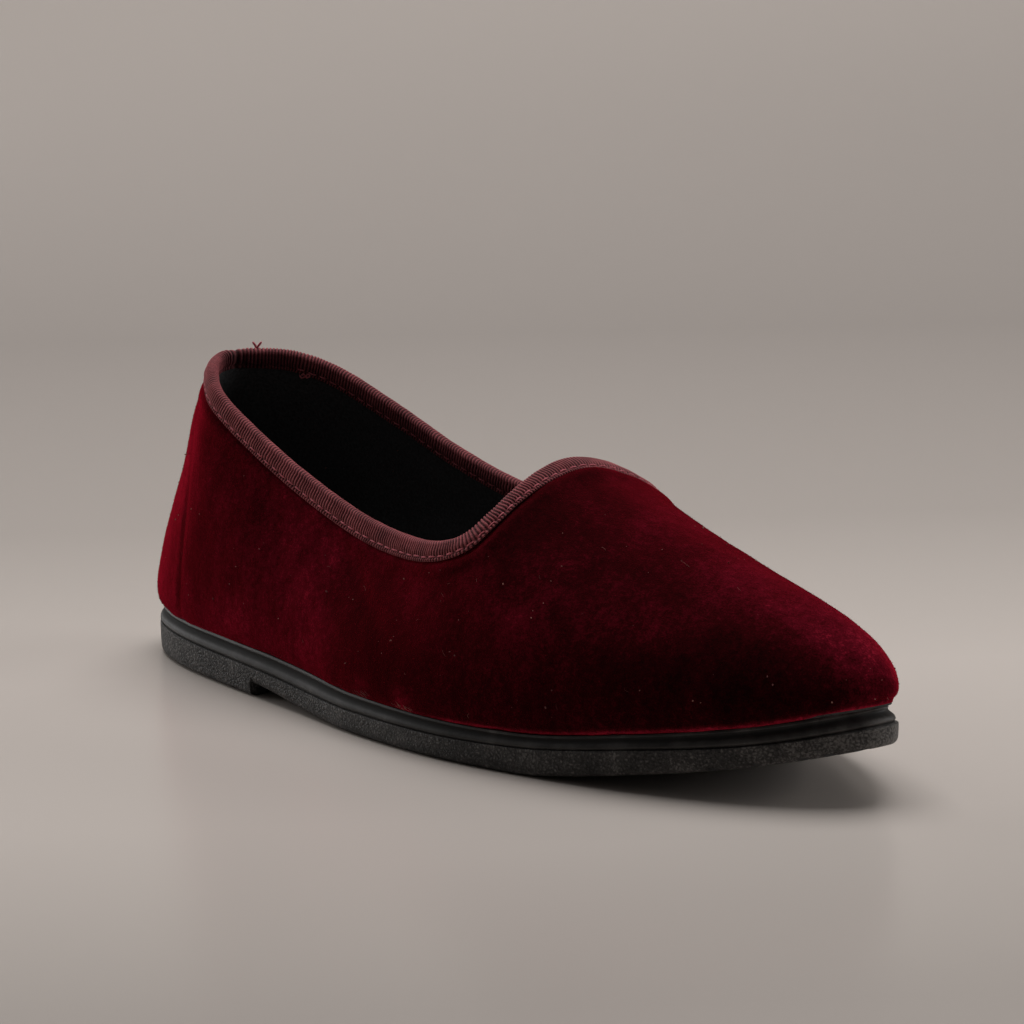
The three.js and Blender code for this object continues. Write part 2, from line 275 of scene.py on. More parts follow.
def resampled(rows, count):
    """Smooth run of rows through a few given ones."""
    whole = extended(np.asarray(rows, float))
    at = np.arange(len(whole), dtype=float) - 1
    wanted = np.linspace(0, len(rows) - 1, count)
    return np.stack([smooth(at, column, wanted) for column in whole.T], -1)


def turn_at(x):
    return np.arccos(1 - 2 * np.asarray(x, float) / SOLE_LENGTH)


def place_at(turn):
    return SOLE_LENGTH / 2 * (1 - np.cos(turn))


def around_foot(rows, column, turn, crosses=False):
    """Column of a table at turns from the heel (0) to the toe (pi), mirrored past both ends."""
    sign = -1 if crosses else 1
    at = turn_at(rows["x"])
    values = rows[column]
    at = np.concatenate([[-at[1]], at, [2 * math.pi - at[-2]]])
    values = np.concatenate([[sign * values[1]], values, [sign * values[-2]]])
    return smooth(at, values, turn)


def along_foot(column, x):
    return smooth(extended(HEIGHTS["x"]), extended(HEIGHTS[column]), np.clip(x, 0, SOLE_LENGTH))


def underside_at(x):
    flat = HEIGHTS["x"][HEIGHTS["under"] == 0]
    resting = (x < HEEL_BREAST) | ((x >= flat[0]) & (x <= flat[-1]))
    return np.where(resting, 0, np.maximum(0, along_foot("under", x)))


def seat_at(x):
    return along_foot("seat", x)


def split_turn(around):
    """Turn from heel to toe and side of the foot (-1 outer, 1 inner) at a way round the foot."""
    around = np.mod(around, 2 * math.pi)
    outer = around <= math.pi
    return np.where(outer, around, 2 * math.pi - around), np.where(outer, -1.0, 1.0)


def by_side(rows, turn, side):
    outer = around_foot(rows, "outer", turn, True)
    inner = around_foot(rows, "inner", turn, True)
    return np.where(side < 0, -outer, inner)


def outline(around):
    turn, side = split_turn(around)
    return np.stack([place_at(turn), by_side(OUTLINE, turn, side)], -1)


def outline_normal(around):
    step = 0.01
    tangent = outline(around + step) - outline(around - step)
    return unit(np.stack([tangent[..., 1], -tangent[..., 0]], -1))


def beside(around, out):
    return outline(around) + outline_normal(around) * np.asarray(out)[..., None]


def unit(vectors):
    return vectors / np.linalg.norm(vectors, axis=-1, keepdims=True)


def rib(around):
    """Control points of the upper's ribs, and the direction in which each meets the collar."""
    turn, side = split_turn(around)
    names = "topX", "topZ", "belly", "rise", "reach", "drop", "sag"
    read = {name: around_foot(RIBS, name, turn) for name in names}
    foot_xy = beside(around, -UPPER_INSET)
    foot = np.column_stack([foot_xy, seat_at(foot_xy[:, 0]) + CLEARANCE])
    sag = np.where(side < 0, read["sag"], 0)
    collar = np.column_stack([read["topX"], by_side(RIBS, turn, side), read["topZ"] - sag])
    outward = unit(foot_xy - collar[:, :2])
    approach = np.column_stack([outward * read["reach"][:, None], -read["drop"]])
    up = -unit(approach)
    edge = collar - up * (RIBBON_THICKNESS + CLEARANCE)
    belly_xy = beside(around, read["belly"] - UPPER_INSET)
    belly = np.column_stack([belly_xy, foot[:, 2] + read["rise"]])
    return foot, belly, edge + approach, edge, up


def surface(around, v):
    """Outside of the upper: one row of points for each way round, from sole (0) to collar (1)."""
    foot, belly, shoulder, edge, _ = rib(around)
    v = np.broadcast_to(v, (len(around), np.shape(v)[-1]))[..., None]
    w = 1 - v
    return (foot[:, None] * w ** 3 + 3 * belly[:, None] * v * w ** 2
            + 3 * shoulder[:, None] * v ** 2 * w + edge[:, None] * v ** 3)


def surface_normal(around, v):
    step = 0.004
    round_foot = surface(around + step, v) - surface(around - step, v)
    upwards = surface(around, np.minimum(1, v + step)) - surface(around, np.maximum(0, v - step))
    return unit(np.cross(round_foot, upwards))


def in_wall(around, v, depth):
    return surface(around, v) - surface_normal(around, v) * np.asarray(depth)[..., None]


def walked(points):
    """Length walked to each point of a row, or of each of several rows."""
    steps = np.linalg.norm(np.diff(points, axis=-2), axis=-1)
    return np.concatenate([np.zeros_like(steps[..., :1]), np.cumsum(steps, axis=-1)], axis=-1)


def below_edge(around, lengths):
    """Share up each rib at its length below the collar's edge, as a column."""
    fine = np.linspace(1, 0.3, 180)
    rows = walked(surface(around, fine))
    lengths = np.broadcast_to(lengths, len(around))
    return np.array([[np.interp(length, row, fine)] for length, row in zip(lengths, rows)])


# Close ways round the foot, and the length walked along the collar to each
DENSE = np.linspace(0, 2 * math.pi, 4001)
COLLAR_WALK = walked(rib(DENSE)[3])
COLLAR_LENGTH = COLLAR_WALK[-1]


def around_at_collar(length):
    return np.interp(np.mod(length, COLLAR_LENGTH), COLLAR_WALK, DENSE)


# The slipper's own axes in the frame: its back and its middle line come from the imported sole
sole_low, sole_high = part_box("sole")
EDGE = outline(DENSE)
SHIFT = np.array([
    (sole_low.x + sole_high.x) / 2 / MM - SOLE_LENGTH / 2,
    (sole_low.y + sole_high.y) / 2 / MM - (EDGE[:, 1].min() + EDGE[:, 1].max()) / 2,
    0,
])


def to_frame(points):
    return (np.asarray(points).reshape(-1, 3) + SHIFT) * MM


# Meshes

def put(name, data):
    """New object in the scene with a mesh, a camera or a light."""
    thing = bpy.data.objects.new(name, data)
    bpy.context.collection.objects.link(thing)
    return thing


def make_piece(name, points, faces, material, stands_for=None, sharp=None, attributes=None,
               normals=None):
    """A piece from points in millimetres, riding on the slipper's only body."""
    mesh = bpy.data.meshes.new(name)
    mesh.from_pydata(to_frame(points).tolist(), [], [list(map(int, face)) for face in faces])
    for key, values in (attributes or {}).items():
        layer = mesh.attributes.new(key, "FLOAT", "POINT")
        layer.data.foreach_set("value", np.asarray(values, float).ravel())
    mesh.materials.append(material)
    piece = put(name, mesh)
    shade(mesh, sharp)
    if normals is not None:
        mesh.normals_split_custom_set_from_vertices(normals.tolist())
    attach(piece, "root")
    if stands_for:
        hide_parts(stands_for)
    return piece


def shade(mesh, sharp=None):
    """Smooth shading, with edges sharper than an angle in degrees left as edges."""
    mesh.polygons.foreach_set("use_smooth", np.ones(len(mesh.polygons), bool))
    if sharp is None:
        return
    work = bmesh.new()
    work.from_mesh(mesh)
    for edge in work.edges:
        if len(edge.link_faces) == 2 and edge.calc_face_angle() > math.radians(sharp):
            edge.smooth = False
    work.to_mesh(mesh)
    work.free()


def ring_faces(points):
    """Faces round closed sections that follow each other round the foot."""
    sections, size = points.shape[:2]
    i, j = np.meshgrid(np.arange(sections), np.arange(size), indexing="ij")
    here = i * size
    following = (i + 1) % sections * size
    over = (j + 1) % size
    return np.stack([here + j, following + j, following + over, here + over], -1).reshape(-1, 4)


def side_faces(loops, size):
    """Sides between closed loops that lie above each other."""
    k, i = np.meshgrid(np.arange(loops - 1), np.arange(size), indexing="ij")
    low = k * size
    following = (i + 1) % size
    corners = [low + i, low + following, low + size + following, low + size + i]
    return np.stack(corners, -1).reshape(-1, 4).tolist()


def stacked(loops):
    """Points and faces of loops round the foot, with strips that close the lowest and highest loop."""
    size = len(loops[0])
    toe = size // 2
    top = (len(loops) - 1) * size
    faces = side_faces(len(loops), size)
    faces.append([top, top + 1, top + size - 1])
    faces.append([0, size - 1, 1])
    for n in range(1, toe - 1):
        faces.append([top + n, top + n + 1, top + size - n - 1, top + size - n])
        faces.append([n, size - n, size - n - 1, n + 1])
    faces.append([top + toe - 1, top + toe, top + toe + 1])
    faces.append([toe - 1, toe + 1, toe])
    return np.concatenate(loops), faces


def even_ring(per_side, extra=()):
    turns = np.sort(np.concatenate([np.linspace(0, math.pi, per_side + 1), extra]))
    return np.concatenate([turns, 2 * math.pi - turns[-2:0:-1]])


def tube(path, radius, sides=6, taper=0.35):
    """Points and faces of a closed thread along a path."""
    path = np.asarray(path, float)
    tangent = unit(np.gradient(path, axis=0))
    helper = np.array([0.31, 0.17, 0.93])
    first = unit(np.cross(tangent, helper))
    second = np.cross(tangent, first)
    angles = np.linspace(0, 2 * math.pi, sides, endpoint=False)
    radii = np.full(len(path), radius)
    radii[[0, -1]] *= taper
    circle = first[:, None] * np.cos(angles)[:, None] + second[:, None] * np.sin(angles)[:, None]
    points = (path[:, None] + circle * radii[:, None, None]).reshape(-1, 3)
    faces = side_faces(len(path), sides)
    faces.append(list(range(sides))[::-1])
    faces.append(list(range(len(points) - sides, len(points))))
    return points, faces


def joined(parts):
    """One set of points and faces from several."""
    points, faces, count = [], [], 0
    for part_points, part_faces in parts:
        points.append(part_points)
        faces.extend([[index + count for index in face] for face in part_faces])
        count += len(part_points)
    return np.concatenate(points), faces


# Materials

class Shader:
    """A material with one surface shader, and short ways to add the nodes that feed it."""

    def __init__(self, name, **sockets):
        self.material = bpy.data.materials.new(name)
        self.material.use_nodes = True
        self.tree = self.material.node_tree
        self.surface = self.tree.nodes["Principled BSDF"]
        self.place = self.node("TexCoord").outputs["Object"]
        self.set(**sockets)

    def give(self, socket, value):
        """Link an input to an output, or set it to a plain value."""
        if isinstance(value, bpy.types.NodeSocket):
            self.tree.links.new(value, socket)
        else:
            socket.default_value = value

    def feed(self, node, sockets):
        for key, value in sockets.items():
            self.give(node.inputs[key.replace("_", " ")], value)
        return node

    def node(self, kind, **sockets):
        return self.feed(self.tree.nodes.new("ShaderNode" + kind), sockets)

    def set(self, **sockets):
        self.feed(self.surface, sockets)
        return self.material

    def noise(self, size, detail, roughness=0.55, stretch=(1, 1, 1)):
        """Noise whose features are about size millimetres across."""
        place = self.node("Mapping", Vector=self.place, Scale=stretch).outputs["Vector"]
        node = self.node("TexNoise", Vector=place, Scale=1 / (size * MM), Detail=detail,
                         Roughness=roughness)
        return node.outputs["Fac"]

    def cracks(self, size):
        """Distance to the edges of cells that are about size millimetres across."""
        node = self.node("TexVoronoi", Vector=self.place, Scale=1 / (size * MM))
        node.feature = "DISTANCE_TO_EDGE"
        return node.outputs["Distance"]

    def attribute(self, name):
        node = self.node("Attribute")
        node.attribute_name = name
        return node.outputs["Fac"]

    def math(self, operation, a, b):
        node = self.node("Math")
        node.operation = operation
        for socket, value in zip(node.inputs, (a, b)):
            self.give(socket, value)
        return node.outputs["Value"]

    def scaled(self, value, low, high, to_low=0.0, to_high=1.0):
        node = self.node("MapRange", Value=value, From_Min=low, From_Max=high, To_Min=to_low,
                         To_Max=to_high)
        return node.outputs["Result"]

    def swayed(self, value, noise, reach):
        """A value with noise added that goes as far below zero as above it."""
        return self.math("ADD", value, self.scaled(noise, 0.3, 0.7, -reach, reach))

    def ramp(self, value, *stops):
        """Colour by a value: stops are (position, (red, green, blue))."""
        node = self.node("ValToRGB", Fac=value)
        elements = node.color_ramp.elements
        while len(elements) < len(stops):
            elements.new(0.5)
        for element, (position, colour) in zip(elements, stops):
            element.position = position
            element.color = (*colour, 1)
        return node.outputs["Color"]

    def bump(self, height, distance, strength, before=None):
        node = self.node("Bump", Height=height, Distance=distance * MM, Strength=strength)
        if before is not None:
            self.feed(node, {"Normal": before})
        return node.outputs["Normal"]


def velvet_material():
    shader = Shader("velvet", Roughness=1.0, Sheen_Weight=1.0, Sheen_Roughness=0.36,
                    Sheen_Tint=(0.6, 0.011, 0.033, 1), Specular_IOR_Level=0.0)
    cloud = shader.noise(24, 3, 0.5)
    streak = shader.noise(5, 4, 0.6, (1, 1, 0.5))
    tuft = shader.noise(1.5, 3, 0.6)
    fine = shader.noise(0.45, 2, 0.7)
    # The attribute holds the pile's lie together with painted sheen and painted shade
    tone = shader.attribute("nap_and_painted_light")
    for noise, reach in ((cloud, 0.2), (streak, 0.16), (tuft, 0.2), (fine, 0.24)):
        tone = shader.swayed(tone, noise, reach)
    tone = shader.math("MULTIPLY", tone, 0.5)
    colour = shader.ramp(
        tone,
        (0.0, (0.008, 0.0018, 0.002)),
        (0.25, (0.027, 0.0022, 0.0034)),
        (0.5, (0.09, 0.004, 0.01)),
        (0.9, (0.45, 0.019, 0.044)),
    )
    pile = shader.bump(fine, 0.16, 0.8)
    pile = shader.bump(tuft, 0.22, 0.5, pile)
    return shader.set(Base_Color=colour, Normal=shader.bump(streak, 0.3, 0.35, pile))


def ribbon_material():
    shader = Shader("ribbon", Roughness=0.7, Sheen_Weight=0.3, Sheen_Roughness=0.5,
                    Sheen_Tint=(0.7, 0.24, 0.25, 1), Specular_IOR_Level=0.12)
    wear = shader.noise(5, 4)
    thread = shader.noise(0.3, 2)
    # The rib attribute carries painted shade between the ribs, in the pucker and inside the heel, and
    # painted light along the outer side
    tone = shader.swayed(shader.attribute("rib"), wear, 0.15)
    tone = shader.swayed(tone, thread, 0.12)
    colour = shader.ramp(
        tone,
        (0.0, (0.008, 0.0013, 0.0014)),
        (0.45, (0.145, 0.033, 0.038)),
        (1.0, (0.47, 0.122, 0.132)),
    )
    return shader.set(Base_Color=colour, Normal=shader.bump(thread, 0.08, 0.5))


def thread_material():
    shader = Shader("stitching", Roughness=0.7, Specular_IOR_Level=0.15)
    colour = shader.ramp(shader.noise(0.7, 2), (0.2, (0.3, 0.055, 0.07)), (0.8, (0.66, 0.19, 0.22)))
    return shader.set(Base_Color=colour)


def lining_material():
    shader = Shader("lining", Roughness=0.95, Specular_IOR_Level=0.08, Sheen_Weight=0.06,
                    Sheen_Roughness=0.6)
    weave = shader.noise(0.7, 3)
    colour = shader.ramp(weave, (0.25, (0.022, 0.022, 0.022)), (0.8, (0.075, 0.075, 0.077)))
    return shader.set(Base_Color=colour, Normal=shader.bump(weave, 0.15, 0.5))


def rubber_material():
    shader = Shader("sole_rubber", Specular_IOR_Level=0.24)
    grain = shader.attribute("grain")
    # Painted light on the toe and painted shade in the cove under the velvet
    shade = shader.attribute("shade")
    crackle = shader.cracks(0.95)
    pits = shader.noise(0.7, 3, 0.65)
    relief = shader.math("MULTIPLY", crackle, 1.4)
    relief = shader.math("ADD", relief, shader.math("MULTIPLY", pits, 0.8))
    relief = shader.math("MULTIPLY", relief, grain)
    dust = shader.scaled(shader.noise(9, 5, 0.65), 0.35, 0.7, 0.15, 0.75)
    speckle = shader.math("ADD", shader.scaled(pits, 0.35, 0.65, -0.5, 0.5),
                          shader.scaled(crackle, 0, 0.4, -0.4, 0.4))
    tone = shader.math("ADD", dust, shader.math("MULTIPLY", grain, 0.3))
    tone = shader.math("ADD", tone, shader.math("MULTIPLY", speckle, grain))
    colour = shader.ramp(
        shader.math("ADD", tone, shade),
        (0.1, (0.0125, 0.0115, 0.011)),
        (0.6, (0.044, 0.0413, 0.0397)),
        (1.0, (0.13, 0.121, 0.115)),
    )
    roughness = shader.math("ADD", shader.scaled(grain, 0, 1, 0.52, 0.62),
                            shader.scaled(shade, -0.5, 0, 0.3, 0))
    smear = shader.bump(shader.noise(2.5, 3), 0.1, 0.25)
    normal = shader.bump(relief, 0.5, 0.9, smear)
    return shader.set(Base_Color=colour, Roughness=roughness, Normal=normal)


def lint_material():
    shader = Shader("lint", Roughness=0.9, Specular_IOR_Level=0.2)
    colour = shader.ramp(shader.noise(14, 2), (0.38, (0.13, 0.045, 0.043)), (0.72, (0.4, 0.19, 0.15)))
    return shader.set(Base_Color=colour)


def pile_material():
    shader = Shader("pile", Roughness=0.8, Sheen_Weight=1.0, Sheen_Roughness=0.4,
                    Sheen_Tint=(0.8, 0.1, 0.16, 1), Specular_IOR_Level=0.1)
    colour = shader.ramp(shader.noise(3, 3), (0.3, (0.05, 0.003, 0.008)), (0.75, (0.13, 0.012, 0.02)))
    return shader.set(Base_Color=colour)


def studio_material():
    """Warm grey sheet, painted lightest round the slipper, with painted darker bands in front and
    behind.
    """
    shader = Shader("studio_sheet", Roughness=0.25, Specular_IOR_Level=0.5)
    angle = -math.radians(CAMERA_AZIMUTH + SHEET_SKEW)
    turn = shader.node("VectorRotate", Vector=shader.place, Angle=angle)
    turn.rotation_type = "Z_AXIS"
    split = shader.node("SeparateXYZ", Vector=turn.outputs["Vector"])
    near, far = -0.5, 2.5
    depth = shader.scaled(split.outputs["Y"], near, far)
    stops = []
    for behind, share in SHEET_PAINTED_LIGHT:
        stops.append(((behind - near) / (far - near), tuple(share * c for c in SHEET_COLOUR)))
    return shader.set(Base_Color=shader.ramp(depth, *stops))


# Upper

def soft_spot(distance_share):
    return np.exp(-0.5 * distance_share ** 2)


def ease(value, start, end):
    """0 up to the start and 1 from the end on, which may also lie below the start."""
    return np.clip((value - start) / (end - start), 0, 1)


def heel_share(turn, spread):
    """How near a place is to the middle of the heel."""
    return soft_spot(turn / spread)


def toe_share(turn, spread=0.4):
    """How near a place is to the tip of the toe, or to the throat above it."""
    return soft_spot((math.pi - turn) / spread)


def same_side(at, wanted):
    """Share of a mark that shows: one side of the foot, fading over heel and toe."""
    return np.clip(0.5 + 2.2 * at["side"] * wanted * np.sin(at["turn"]), 0, 1)


# Velvet tone from the table: patches of the pile's lie, painted sheen at the heel's edge and the toe,
# painted shade on the vamp
def nap_and_painted_light_at(at):
    tone = np.full(at["v"].shape, 0.5)
    for x, up, spread, spread_up, wanted, strength in zip(*NAP_AND_PAINTED_LIGHT.values()):
        spot = soft_spot((at["x"] - x) / spread) * soft_spot((at["v"] - up) / spread_up)
        tone += NAP_AND_PAINTED_LIGHT_STRENGTH * strength * spot * same_side(at, wanted)
    return tone


def gentle(points, height, size, seed):
    """Soft swellings about size millimetres across."""
    rng = np.random.default_rng(SEED + seed)
    total = np.zeros(points.shape[:-1])
    for _ in range(7):
        way = unit(rng.normal(size=3)) * 2 * math.pi / (size * rng.uniform(0.8, 1.6))
        total += np.sin(points @ way + rng.uniform(0, 2 * math.pi))
    return height * total / 3


def relief_at(points, at):
    """How far the velvet stands in front of the plain surface of the upper."""
    swell = gentle(points, height=0.22, size=42, seed=3) + gentle(points, height=0.07, size=11, seed=4)
    swell += gentle(points, height=0.12, size=7, seed=5) * np.exp(-at["from_foot"] / 5)
    return swell + creases_at(at) + heel_line(points) + tuck_at(at) + fullness_at(at) + roll_at(at)


def creases_at(at):
    """Soft troughs, each with a low fold in front of it."""
    fold_share, fold_ahead = 0.55, 2.1
    relief = np.zeros(at["v"].shape)
    for x, up, end_x, end_up, wanted, width, depth in zip(*CREASES.values()):
        share = np.clip((at["v"] - end_up) / (up - end_up), 0, 1)
        ahead = at["x"] - (end_x + (x - end_x) * share)
        trough = soft_spot(ahead / width) - fold_share * soft_spot(ahead / width - fold_ahead)
        fade = np.sin(math.pi * share) ** 0.7
        relief -= depth * trough * fade * same_side(at, wanted)
    return relief


def tuck_at(at):
    """Velvet that bulges over the sole and turns in at it, most of all round the toe."""
    side_bulge, less_at_toe, more_at_heel, bulge_height = 0.35, 0.5, 0.4, 4
    side_tuck, tuck_height = 0.05, 1.8
    toe = toe_share(at["turn"])
    height = at["from_foot"] / bulge_height
    bulge = side_bulge - less_at_toe * toe + more_at_heel * heel_share(at["turn"], 0.5)
    tuck = (side_tuck + TOE_TUCK * toe) * soft_spot(at["from_foot"] / tuck_height)
    return bulge * height * np.exp(1 - height) - tuck


def fullness_at(at):
    """Fuller velvet below the collar at the back, and on the toe."""
    back_height, below_collar, back_spread = 0.9, 14, 6
    toe_height, toe_up, toe_spread = 0.8, 0.36, 0.13
    back = heel_share(at["turn"], 0.7) * soft_spot((at["from_edge"] - below_collar) / back_spread)
    toe = toe_share(at["turn"], 0.6) * soft_spot((at["v"] - toe_up) / toe_spread)
    return back_height * back + toe_height * toe


def roll_at(at):
    """Velvet that rolls up beside the ribbon, most of all at the throat, and is pressed under it."""
    roll, more_at_throat, roll_width = 0.4, 0.75, 1.5
    pressed, pressed_edge = 0.3, RIBBON_OUTSIDE + 0.4
    throat = toe_share(at["turn"], 0.75)
    beside_ribbon = soft_spot((at["from_edge"] - RIBBON_OUTSIDE - roll_width) / roll_width)
    under_ribbon = ease(at["from_edge"], pressed_edge, pressed_edge - 1)
    return (roll + more_at_throat * throat) * beside_ribbon - pressed * under_ribbon


def heel_line(points):
    """Upright line pressed into the velvet on both sides of the heel, and a low ridge behind it."""
    depth, width = 0.22, 0.8
    ridge_height, ridge_width, ridge_behind = 0.1, 1.2, 2.2
    bow, bow_height = 0.004, 35
    x, z = points[..., 0], points[..., 2]
    ahead = x - (HEEL_LINE - bow * (z - bow_height) ** 2)
    ridge = ridge_height * soft_spot((ahead + ridge_behind) / ridge_width)
    return ease(z, 70, 40) * (ridge - depth * soft_spot(ahead / width))


def upper_grid(per_side, steps):
    """Points and normals of the upper's outside, and what is known of the place of each."""
    around = even_ring(per_side)
    v = np.linspace(0, 1, steps + 1)
    points = surface(around, v)
    from_foot = walked(points)
    turn, side = split_turn(around)
    at = {"around": around, "turn": turn, "side": side, "x": place_at(turn)}
    at = {key: np.broadcast_to(values[:, None], from_foot.shape) for key, values in at.items()}
    at["v"] = np.broadcast_to(v, from_foot.shape)
    at["from_foot"] = from_foot
    at["from_edge"] = from_foot[:, -1:] - from_foot
    return points, surface_normal(around, v), at


def make_velvet(material):
    points, normal, at = upper_grid(per_side=260, steps=84)
    outer = points + normal * relief_at(points, at)[..., None]
    inner = points - normal * VELVET_DEPTH
    inner[:, 0] = outer[:, 0] - normal[:, 0] * [1, 1, 0] * VELVET_DEPTH
    # Painted sheen on the lowest edge of the forefoot's velvet
    nap_and_painted_light = nap_and_painted_light_at(at) + EDGE_PAINTED_SHEEN * same_side(at, -1) * feather_edge_painted_sheen(at)
    # Painted shade in the heel line's groove and painted light on its ridge
    nap_and_painted_light += HEEL_LINE_PAINTED_SHADE * heel_line(points)
    sections = np.concatenate([outer, inner[:, ::-1]], axis=1)
    naps_and_painted_light = np.concatenate([nap_and_painted_light, nap_and_painted_light[:, ::-1]], axis=1)
    faces = ring_faces(sections)
    make_piece("velvet_upper", sections, faces, material, "upper", attributes={"nap_and_painted_light": naps_and_painted_light})
    make_pile(outer, nap_and_painted_light, material)


def feather_edge_painted_sheen(at):
    """Share of the painted sheen: a lighter edge painted where the forefoot's velvet turns in at the
    sole.
    """
    forefoot = ease(at["x"], 125, 155)
    width = 0.9 + 0.5 * ease(at["x"], 170, 230)
    return forefoot * np.clip(1.3 - at["from_foot"] / width, 0, 1)


def make_lining(material):
    points, normal, at = upper_grid(per_side=120, steps=40)
    gap = 0.05
    slack = 0.4 * np.sin(at["around"] * 13 + 9 * at["v"]) * np.sin(at["around"] * 5 - 11 * at["v"])
    slack = slack * ease(at["from_edge"], RIBBON_INSIDE, RIBBON_INSIDE + 8)
    outer = points - normal * (VELVET_DEPTH + gap)
    inner = points - normal * (WALL + np.maximum(0, slack))[..., None]
    sections = np.concatenate([outer, inner[:, ::-1]], axis=1)
    make_piece("lining", sections, ring_faces(sections), material)


# Ribbon

def ribbon_path():
    """Rows across the ribbon from its outer to its inner edge, then back along the side that lies on
    the cloth: length below the collar's edge, depth into the wall, height over the edge, direction of
    the ribs' relief and its strength."""
    face = 0.55
    outer_face = -face
    inner_face = WALL + face
    full = CLEARANCE + RIBBON_THICKNESS + 0.25
    rows = []
    leaf = ((0, 0.4, 0.5), (0.18, 0.16, 1), (0.5, 0.08, 1), (0.85, 0.12, 0.7), (1.15, 0.24, 0.35),
            (1.5, 0.2, 0.35), (1.85, 0.02, 0.8), (2.4, -0.14, 1), (3.0, -0.2, 1), (3.7, -0.16, 1))
    for above, tuck, strength in leaf:
        rows.append((RIBBON_OUTSIDE - above, outer_face + tuck, 0, -1, 0, strength))
    middle = WALL / 2
    half = inner_face - middle
    for angle in np.linspace(0, math.pi, 13):
        rows.append((0, middle - half * math.cos(angle), full * math.sin(angle),
                     -math.cos(angle), math.sin(angle), 1))
    for above, tuck, strength in leaf[::-1]:
        rows.append((RIBBON_INSIDE - above, inner_face - tuck, 0, 1, 0, strength))
    on_lining = WALL + CLEARANCE / 2
    rows += [(RIBBON_INSIDE - 0.1, on_lining, 0, 0, 0, 0), (2.6, on_lining, 0, 0, 0, 0),
             (0, on_lining, CLEARANCE, 0, 0, 0)]
    on_velvet = -CLEARANCE / 2
    rows += [(0, on_velvet, CLEARANCE, 0, 0, 0), (2.5, on_velvet, 0, 0, 0, 0),
             (RIBBON_OUTSIDE - 0.1, on_velvet, 0, 0, 0, 0)]
    return table(("below", "depth", "height", "rib_in", "rib_up", "strength"), *rows)


def from_collar_place(walk, place):
    """Signed lengths along the collar from a place on it, the short way round."""
    return np.mod(walk - place + COLLAR_LENGTH / 2, COLLAR_LENGTH) - COLLAR_LENGTH / 2


def ribbon_share(walk):
    """Share of the ribbon's width that shows: it is drawn narrower round the outer side of the heel and
    where it turns up to the throat."""
    heel = soft_spot(from_collar_place(walk, 18) / 28)
    throat = soft_spot(from_collar_place(walk, 152) / 13)
    return 1 - 0.28 * heel - 0.27 * throat


def pucker_at(walk):
    """How far the ribbon is drawn in where it turns at the back: one fold and a lesser one."""
    fold = soft_spot(from_collar_place(walk, -1.5) / 0.8)
    lesser = soft_spot(from_collar_place(walk, RIBBON_BACK) / 0.6)
    return fold + 0.6 * lesser


def make_ribbon(material):
    """Ribbon whose ribs run straight across it and which puckers where it turns at the back."""
    ribs_round = round(COLLAR_LENGTH / RIB_PITCH)
    per_rib = 5
    count = np.arange(ribs_round * per_rib) / per_rib
    walk = count * COLLAR_LENGTH / ribs_round
    _, _, _, collar, up = rib(around_at_collar(walk))
    along = unit(np.roll(collar, -1, axis=0) - np.roll(collar, 1, axis=0))
    ahead = -np.sum(up * along, axis=-1)
    wander = 0.13 * np.sin(walk / 1.9) + 0.1 * np.sin(walk / 1.07 + 2)
    uneven = 1 + 0.25 * np.sin(walk / 1.4) * np.sin(walk / 3.6 + 1)
    drawn_apart = 2.5 * np.tanh(from_collar_place(walk, -1) / 4)
    ridge = np.abs(np.cos(math.pi * (count - drawn_apart)))
    pucker = pucker_at(walk)
    # Painted shade on the inside of the ribbon at the back of the heel
    shade_inside_heel = soft_spot(from_collar_place(walk, RIBBON_BACK) / 10)
    # Painted light on the ribbon along the outer side of the collar
    ribbon_painted_light = 1 + 0.14 * soft_spot(from_collar_place(walk, 50) / 38)
    rows = []
    tones_and_painted_shade = []
    for below, depth, height, rib_in, rib_up, strength in zip(*ribbon_path().values()):
        below = below * ribbon_share(walk)
        around = around_at_collar(walk - below * ahead + wander * strength)
        v = below_edge(around, below)
        raised = RIB_HEIGHT * (ridge - 0.5) * strength * uneven
        drawn_in = pucker * np.clip(rib_in + 0.3, 0, 1)
        point = in_wall(around, v, (depth + raised * rib_in - 0.5 * drawn_in)[:, None])[:, 0]
        over_edge = height + (raised - 0.3 * pucker) * rib_up
        rows.append(point + rib(around)[4] * over_edge[:, None])
        shown_and_shaded = np.minimum(1, 0.4 + strength) * (1 - 0.7 * drawn_in)
        shown_and_shaded = shown_and_shaded * (1 - 0.5 * shade_inside_heel * max(0, rib_in))
        # Ridges light and valleys dark: painted shade between the ribs, in the pucker and inside the
        # heel
        tones_and_painted_shade.append(0.02 + 0.74 * ridge ** 2.1 * shown_and_shaded * ribbon_painted_light)
    points = np.stack(rows, axis=1)
    tone = np.clip(np.stack(tones_and_painted_shade, axis=1), 0, 1)
    faces = ring_faces(points)
    make_piece("ribbon_binding", points, faces, material, "binding", attributes={"rib": tone})


